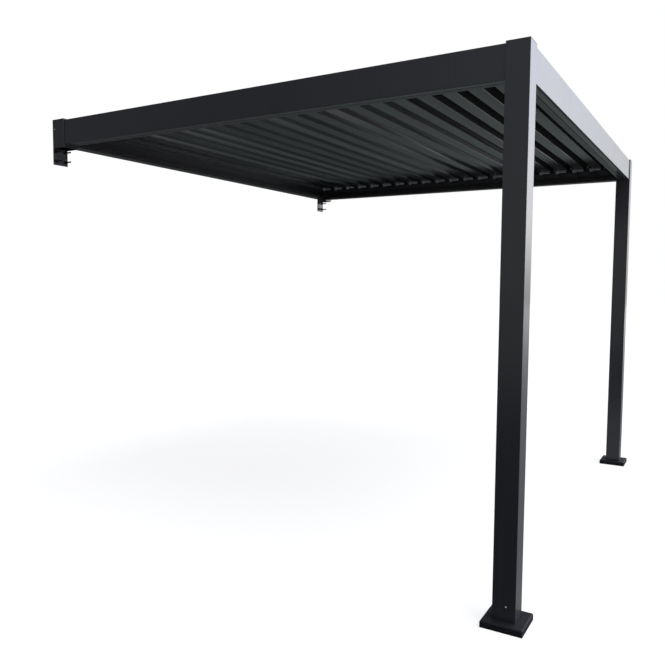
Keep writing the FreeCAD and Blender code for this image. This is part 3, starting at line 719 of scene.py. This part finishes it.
class PERGOLA_OT_stage(bpy.types.Operator):
    """Adds the camera, the pale floor and the studio light"""
    bl_idname = "pergola.stage"
    bl_label = "Camera, Floor and Light"

    # Camera fitted to the straight edges of the pergola, in radians and metres
    YAW = -0.529895
    PITCH = -0.074743
    ROLL = 0.0063
    PLACE = (3.7512, -4.5290, -0.9264)
    SENSOR = 36
    VIEW_END = 200

    # Where the key light comes from, and how wide it looks, in degrees
    KEY_FROM = (0.55, -0.25, 1.0)
    KEY_WIDTH = 35

    # Metres over which the floor's bounced tone changes: ALONG the wall and ACROSS from it
    ALONG_YARD = (-14.0, -5.0)
    ALONG_SHELTER = (-2.0, -1.1)
    ALONG_BESIDE = (-2.4, -1.4)
    ALONG_FAR = (0.0, 26.0)
    ALONG_LAWN = (1.8, 4.0)
    ACROSS_HOUSE = (-8.0, 0.5)
    ACROSS_BESIDE = (2.98, 3.2)

    # Shares of the floor's bounced tone
    YARD_TONE = (0.9, 0.12)
    SHELTER_TONE = 0.88
    HOUSE_TONE = (0.3, 1.0)
    LAWN_DIMMING = 0.72
    LAWN_GREEN = 0.06

    # Grey of the floor that the camera sees, which takes the shadow
    SHADOW_GREY = 0.32

    # Direction of the studio's bright side, and where along it the light turns up
    BRIGHT_TOWARDS = (0.25, 0.97, 0.0)
    BRIGHT_TURN = (-0.5, 0.9)

    # The bright side gets brighter, and the house side darker, with the direction's X
    BRIGHT_ACROSS = (0.1, 0.3)
    BRIGHT_RISE = (0.34, 1.4)
    HOUSE_ACROSS = (-0.6, -0.05)

    # The light starts at the horizon, and cools with height
    HORIZON = (-0.06, 0.1)
    COOL_HEIGHT = (0.02, 0.3)
    COOL_TINT = (0.93, 0.96, 1.07, 1)

    def execute(self, context):
        stage = context.scene.pergola.stage
        self.add_camera(context, stage)
        self.add_floor(context, stage)
        self.add_world(context, stage)
        lamp = bpy.data.lights.new("key_light", "SUN")
        lamp.energy = stage.key_strength
        lamp.angle = math.radians(self.KEY_WIDTH)
        key = bpy.data.objects.new("key_light", lamp)
        context.scene.collection.objects.link(key)
        key.rotation_euler = Vector(self.KEY_FROM).to_track_quat("Z", "Y").to_euler()
        context.scene.view_settings.view_transform = "Standard"
        return {"FINISHED"}

    def add_camera(self, context, stage):
        forward = Vector((math.sin(self.YAW) * math.cos(self.PITCH),
                          math.cos(self.YAW) * math.cos(self.PITCH),
                          math.sin(self.PITCH)))
        level = Vector((math.cos(self.YAW), -math.sin(self.YAW), 0))
        upright = level.cross(forward)
        right = math.cos(self.ROLL) * level + math.sin(self.ROLL) * upright
        up = math.cos(self.ROLL) * upright - math.sin(self.ROLL) * level
        data = bpy.data.cameras.new("photo_camera")
        data.lens = stage.lens
        data.sensor_width = self.SENSOR
        data.sensor_fit = "HORIZONTAL"
        data.clip_end = self.VIEW_END
        camera = bpy.data.objects.new("photo_camera", data)
        context.scene.collection.objects.link(camera)
        turn = Matrix((right, up, -forward)).transposed().to_4x4()
        camera.matrix_world = Matrix.Translation(self.PLACE) @ turn
        context.scene.camera = camera

    def add_floor(self, context, stage):
        half = stage.floor_size / 2
        mesh = bpy.data.meshes.new("floor")
        corners = [(-half, -half, GROUND), (half, -half, GROUND), (half, half, GROUND), (-half, half, GROUND)]
        mesh.from_pydata(corners, [], [(0, 1, 2, 3)])
        material, nodes = new_material("pale_floor")
        place = nodes.add("ShaderNodeTexCoord", out="Object")
        tone, green = self.floor_tone(nodes, place, stage)
        seen = nodes.add("ShaderNodeLightPath", out="Is Camera Ray")
        channels = {"X": tone * (1 - green), "Y": tone * (1 + green), "Z": tone * (1 - green * 0.4)}
        colour = nodes.add("ShaderNodeCombineXYZ", None, channels)
        bounced = nodes.add("ShaderNodeBsdfDiffuse", None, {"Color": colour})
        shadowed = nodes.add("ShaderNodeBsdfDiffuse", None, {"Color": grey(self.SHADOW_GREY)})
        glow = nodes.add("ShaderNodeEmission", None, {"Color": grey(1), "Strength": stage.floor_level})
        white = nodes.add("ShaderNodeAddShader", None, {0: shadowed, 1: glow})
        surface(nodes, nodes.add("ShaderNodeMixShader", None, {0: seen, 1: bounced, 2: white}))
        link_new("floor", mesh, material)

    def floor_tone(self, nodes, place, stage):
        """How pale and how green the floor is for light that bounces off it."""
        across = nodes.part(place, "X")
        along = across.twin("Y")
        lawn = nodes.between(along, *self.ALONG_LAWN)
        shelter = nodes.between(along, *self.ALONG_SHELTER) * (1 - self.LAWN_DIMMING * lawn)
        yard = nodes.between(along, *self.ALONG_YARD, *self.YARD_TONE)
        house = nodes.between(across, *self.ACROSS_HOUSE, *self.HOUSE_TONE)
        inner = stage.floor_shade * house * (yard + shelter * self.SHELTER_TONE)
        beside = nodes.between(across, *self.ACROSS_BESIDE) * nodes.between(along, *self.ALONG_BESIDE)
        outer = nodes.between(along, *self.ALONG_FAR, stage.side_floor, stage.far_floor)
        return inner * (1 - beside) + outer * beside, lawn * (1 - beside) * self.LAWN_GREEN

    def add_world(self, context, stage):
        world = bpy.data.worlds.new("studio")
        world.use_nodes = True
        world.node_tree.nodes.clear()
        nodes = Nodes(world.node_tree)
        direction = nodes.add("ShaderNodeTexCoord", out="Generated")
        towards = nodes.add("ShaderNodeVectorMath", {"operation": "DOT_PRODUCT"},
                            {0: direction, 1: self.BRIGHT_TOWARDS}, out="Value")
        height = nodes.part(direction, "Z")
        side = height.twin("X")
        house = nodes.between(side, *self.HOUSE_ACROSS, stage.house_side, 1.0)
        bright = nodes.between(side, *self.BRIGHT_ACROSS, *self.BRIGHT_RISE) * stage.bright_side
        turn = nodes.between(towards, *self.BRIGHT_TURN)
        sky = (bright * turn + stage.dark_side * (1 - turn)) * house
        above = nodes.between(height, *self.HORIZON)
        strength = sky * above + stage.floor_shade * (1 - above)
        tint = nodes.mix(nodes.between(height, *self.COOL_HEIGHT), grey(1), self.COOL_TINT)
        studio = nodes.add("ShaderNodeBackground", None, {"Color": tint, "Strength": strength})
        white = nodes.add("ShaderNodeBackground", None, {"Color": grey(1), "Strength": 1.0})
        seen = nodes.add("ShaderNodeLightPath", out="Is Camera Ray")
        shader = nodes.add("ShaderNodeMixShader", None, {0: seen, 1: studio, 2: white})
        nodes.add("ShaderNodeOutputWorld", None, {"Surface": shader})
        context.scene.world = world


class PERGOLA_OT_posts(bpy.types.Operator):
    """Dresses the posts, the wall posts, their caps and the base covers"""
    bl_idname = "pergola.posts"
    bl_label = "Posts, Caps and Base Covers"

    def execute(self, context):
        edges = context.scene.pergola.edges
        for side in SIDES:
            dress(f"{side}_post", f"{side}_post_tube", edges.post_edge, "frame_coat", segments=3)
            dress(f"{side}_wall_post", f"{side}_wall_post_tube", edges.post_edge, "frame_coat")
            dress(f"{side}_post_cap", f"{side}_post_top", edges.sheet_edge, "frame_coat")
            dress(f"{side}_wall_cap", f"{side}_wall_post_top", edges.sheet_edge, "frame_coat")
            dress(f"{side}_base_cover", f"{side}_base_shell", edges.sheet_edge, "cover_coat")
        return {"FINISHED"}


class PERGOLA_OT_beams(bpy.types.Operator):
    """Dresses the four roof beams, and fills the drip grooves of three with strips of painted shade"""
    bl_idname = "pergola.beams"
    bl_label = "Roof Beams"

    # Directions of the beams' outer faces
    OUTWARD = {"near_side_beam": (0, -1), "far_side_beam": (0, 1), "front_beam": (1, 0)}

    # How far the groove's cutter reaches past the beam, in metres
    SPARE = 0.01

    def execute(self, context):
        edges = context.scene.pergola.edges
        for node, outward in self.OUTWARD.items():
            groove = self.groove_bar(node, outward, edges, -self.SPARE, self.SPARE)
            # A near-black strip fills each drip groove from just inside its mouth: painted shade of the
            # groove
            groove_shade = self.groove_bar(node, outward, edges, edges.groove_shade_recess, 0)
            dress(node, f"{node}_tube", edges.beam_edge, "frame_coat", cutter=groove)
            groove_shade.name = f"{node}_seal"
            groove_shade.data.materials.append(finish_of("dark_plastic"))
            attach(groove_shade, ROOT)
        # The wall beam takes the gutters' darker coat, painted shade against the wall
        dress("wall_beam", "wall_beam_tube", edges.beam_edge, "gutter_coat")
        return {"FINISHED"}

    def groove_bar(self, node, outward, edges, bottom, spare):
        """A bar in the drip groove along a beam, from bottom above its underside, and longer by spare."""
        low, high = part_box(node)
        along = 1 if outward[0] else 0
        across = 1 - along
        face = high[across] if outward[across] > 0 else low[across]
        outer = face - outward[across] * edges.drip_inset
        inner = outer - outward[across] * edges.drip_width
        start, end = low.copy(), high.copy()
        start[across], end[across] = sorted((outer, inner))
        start[along] -= spare
        end[along] += spare
        start.z = low.z + bottom
        end.z = low.z + edges.drip_depth
        return box_piece(f"{node}_groove", start, end)


class PERGOLA_OT_gutters(bpy.types.Operator):
    """Dresses the rain gutters and the closing strip at the front"""
    bl_idname = "pergola.gutters"
    bl_label = "Gutters and Closing Strip"

    def execute(self, context):
        edge = context.scene.pergola.edges.sheet_edge
        for node in ("near_gutter", "far_gutter", "front_gutter", "wall_gutter", "front_closing_strip"):
            # Their coat is a darker copy of the frame's, painted shade under the roof
            dress(node, f"{node}_profile", edge, "gutter_coat")
        return {"FINISHED"}


class PERGOLA_OT_brackets(bpy.types.Operator):
    """Dresses the wall brackets and the anchor plates"""
    bl_idname = "pergola.brackets"
    bl_label = "Brackets and Anchor Plates"

    def execute(self, context):
        edge = context.scene.pergola.edges.sheet_edge
        for side in SIDES:
            dress(f"{side}_wall_bracket", f"{side}_bracket_steel", edge, "galvanised_steel")
            dress(f"{side}_foot_plate", f"{side}_anchor_steel", edge, "galvanised_steel")
        return {"FINISHED"}


class PERGOLA_OT_louvres(bpy.types.Operator):
    """Dresses the louvres, each on its own body"""
    bl_idname = "pergola.louvres"
    bl_label = "Louvres"

    def execute(self, context):
        edge = context.scene.pergola.edges.louvre_edge
        for name in LOUVRES:
            dress(name, f"{name}_blade", edge, "louvre_coat", body=name, segments=1)
        return {"FINISHED"}


class PERGOLA_OT_mechanism(bpy.types.Operator):
    """Dresses the pivot rails and the link bar, and adds the levers' bearings and clamps"""
    bl_idname = "pergola.mechanism"
    bl_label = "Pivot Rails, Link Bar and Levers"

    # Half the width of a lever's eye, and the link bar's face to the lever's inner face, in metres
    EYE = 0.015
    LEVER = 0.005

    def execute(self, context):
        edge = context.scene.pergola.edges.bar_edge
        for side in SIDES:
            name = f"{side}_pivot_rail"
            dress(name, f"{side}_rail_profile", edge, "rail_metal", segments=1)
        # The link bar is black so that it vanishes into the shade under the roof: painted shade on a real
        # part
        dress("link_bar", "link_bar_flat", edge, "link_metal", body="link", segments=1)
        sizes = context.scene.pergola.fasteners
        fitting = {
            "Ring diameter": sizes.ring_diameter,
            "Ring width": sizes.ring_width,
            "Arm length": sizes.arm_length,
            "Arm drop": sizes.arm_drop,
        }
        tree = lever_fitting_tree(finish_of("pale_plastic"))
        link_low, link_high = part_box("link_bar")
        height = (link_low.z + link_high.z) / 2
        for name in LOUVRES:
            low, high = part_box(name)
            spot = (low.x + self.EYE, link_low.y - self.LEVER, height)
            scatter(f"{name}_fitting", tree, fitting, [(spot, (0, -1, 0))], name)
        return {"FINISHED"}


class PERGOLA_OT_fasteners(bpy.types.Operator):
    """Adds the screws and the wall anchors"""
    bl_idname = "pergola.fasteners"
    bl_label = "Screws and Anchors"

    # Screws in metres: from the wall and above the roof's middle
    WALL_SCREW_INSET = 0.020
    WALL_SCREW_HEIGHT = 0.020

    # Screws in metres: from the posts' inner face and above the ground
    FOOT_SCREW_INSET = 0.062
    FOOT_SCREW_HEIGHT = 0.100

    # Washers for each unit of the anchor nuts' width
    WASHER = 1.3

    # Thickness of the wall plates, and anchors from their middle line and lower edge, in metres
    PLATE = 0.005
    ANCHOR_SIDE = 0.035
    ANCHOR_HEIGHTS = (0.025, 0.085)

    def execute(self, context):
        sizes = context.scene.pergola.fasteners
        screw = {
            "Head diameter": sizes.screw_head,
            "Head height": sizes.screw_height,
            "Socket width": sizes.screw_socket,
        }
        tree = socket_screw_tree(finish_of("zinc_fastener"))
        scatter("frame_screws", tree, screw, self.screw_spots(), ROOT)
        anchor = {
            "Width across flats": sizes.anchor_width,
            "Head height": sizes.anchor_height,
            "Washer diameter": sizes.anchor_width * self.WASHER,
            "Thread end": sizes.anchor_thread,
        }
        # The anchor bolts are black, painted shade of the wall corner on real parts
        tree = hexagon_bolt_tree(finish_of("link_metal"))
        scatter("wall_anchor_bolts", tree, anchor, self.anchor_spots(), ROOT)
        return {"FINISHED"}

    def screw_spots(self):
        """One screw in each wall post's outer face and one low on each post's side face."""
        screws = [
            ("wall_post", self.WALL_SCREW_INSET, self.WALL_SCREW_HEIGHT),
            ("post", self.FOOT_SCREW_INSET, GROUND + self.FOOT_SCREW_HEIGHT),
        ]
        spots = []
        for side, sign in SIDES.items():
            for node, inset, height in screws:
                low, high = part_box(f"{side}_{node}")
                face = low.y if sign < 0 else high.y
                spots.append(((low.x + inset, face, height), (0, sign, 0)))
        return spots

    def anchor_spots(self):
        """Four anchors in each bracket's wall plate."""
        spots = []
        for side in SIDES:
            low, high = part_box(f"{side}_wall_bracket")
            middle = (low.y + high.y) / 2
            for across in (-self.ANCHOR_SIDE, self.ANCHOR_SIDE):
                for height in self.ANCHOR_HEIGHTS:
                    spots.append(((low.x + self.PLATE, middle + across, low.z + height), (1, 0, 0)))
        return spots


OPERATORS = [
    PERGOLA_OT_stage,
    PERGOLA_OT_posts,
    PERGOLA_OT_beams,
    PERGOLA_OT_gutters,
    PERGOLA_OT_brackets,
    PERGOLA_OT_louvres,
    PERGOLA_OT_mechanism,
    PERGOLA_OT_fasteners,
]


class PERGOLA_PT_panel(bpy.types.Panel):
    """Lists the pergola's sizes, finishes and steps"""
    bl_label = "Pergola"
    bl_idname = "PERGOLA_PT_panel"
    bl_space_type = "VIEW_3D"
    bl_region_type = "UI"
    bl_category = "Pergola"

    def draw(self, context):
        settings = context.scene.pergola
        for operator in OPERATORS:
            self.layout.operator(operator.bl_idname)
        for group in (settings.finishes, settings.edges, settings.fasteners, settings.stage):
            box = self.layout.box()
            for name in group.__annotations__:
                box.prop(group, name)


CLASSES = [PergolaFinishes, PergolaEdges, PergolaFasteners, PergolaStage, PergolaSettings, *OPERATORS,
           PERGOLA_PT_panel]


def register():
    for item in CLASSES:
        bpy.utils.register_class(item)
    bpy.types.Scene.pergola = PointerProperty(type=PergolaSettings)


def unregister():
    del bpy.types.Scene.pergola
    for item in reversed(CLASSES):
        bpy.utils.unregister_class(item)


def main():
    register()
    bpy.ops.pergola.stage()
    bpy.ops.pergola.posts()
    bpy.ops.pergola.beams()
    bpy.ops.pergola.gutters()
    bpy.ops.pergola.brackets()
    bpy.ops.pergola.louvres()
    bpy.ops.pergola.mechanism()
    bpy.ops.pergola.fasteners()


if __name__ == "__main__":
    main()
